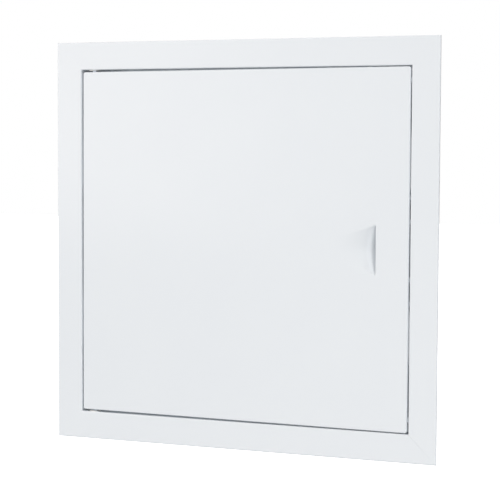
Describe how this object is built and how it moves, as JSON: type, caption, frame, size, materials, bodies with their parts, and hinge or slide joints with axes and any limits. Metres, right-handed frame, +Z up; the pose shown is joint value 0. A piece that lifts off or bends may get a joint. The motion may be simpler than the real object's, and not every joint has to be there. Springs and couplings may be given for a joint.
{
  "type": "flush access panel",
  "caption": "Square white sheet-steel access panel: mitred flange frame, flush lift-off door with scoop finger pull, sprung release hinge pin and magnetic catches.",
  "frame": {"origin": "centre of the opening in the plane of the wall or ceiling face, where the hem of the flange rests", "axes": "+X to the latch side seen from the room, +Y into the wall, +Z up in the picture's pose"},
  "size_m": [0.35, 0.021, 0.35],
  "materials": {
    "frame_powder_coat": "satin white powder coat on sheet steel",
    "door_powder_coat": "satin white powder coat on sheet steel",
    "rivet_coat": "white lacquered steel rivets",
    "zinc_steel": "bright zinc plate",
    "spring_steel": "drawn spring wire",
    "nylon": "moulded white nylon",
    "ferrite": "sintered ferrite magnet"
  },
  "bodies": {
    "frame": {"frame_top_rail": "frame_powder_coat", "frame_bottom_rail": "frame_powder_coat", "frame_hinge_stile": "frame_powder_coat", "frame_latch_stile": "frame_powder_coat", "corner_bracket_top_left": "zinc_steel", "corner_bracket_top_right": "zinc_steel", "corner_bracket_bottom_left": "zinc_steel", "corner_bracket_bottom_right": "zinc_steel", "frame_corner_rivets": "rivet_coat", "pivot_bush_top": "nylon", "pivot_bush_bottom": "nylon"},
    "door": {"door_panel": "door_powder_coat", "door_corner_rivets": "rivet_coat", "hinge_bracket": "zinc_steel", "hinge_bracket_rivets": "rivet_coat", "lower_pivot_bracket": "zinc_steel", "lower_bracket_rivets": "rivet_coat", "lower_pivot_pin": "zinc_steel", "pivot_washer": "zinc_steel", "magnet_housing_upper": "nylon", "magnet_housing_lower": "nylon", "magnet_upper": "ferrite", "magnet_lower": "ferrite", "pole_plates_upper": "zinc_steel", "pole_plates_lower": "zinc_steel", "magnet_rivets": "rivet_coat", "pin_spring": "spring_steel"},
    "release_pin": {"release_pin": "zinc_steel", "pin_clip": "zinc_steel"}
  },
  "joints": [
    {"name": "door_hinge", "type": "hinge", "parent": "frame", "child": "door", "pos_m": [-0.1404, 0.0035, 0], "axis": [0, 0, -1], "range_deg": [0, 110]},
    {"name": "pin_release", "type": "slide", "parent": "door", "child": "release_pin", "axis": [0, 0, -1], "range_m": [0, 0.0065], "stiffness_N_per_m": 600, "springref_m": -0.01, "deforming": ["pin_spring"]}
  ]
}
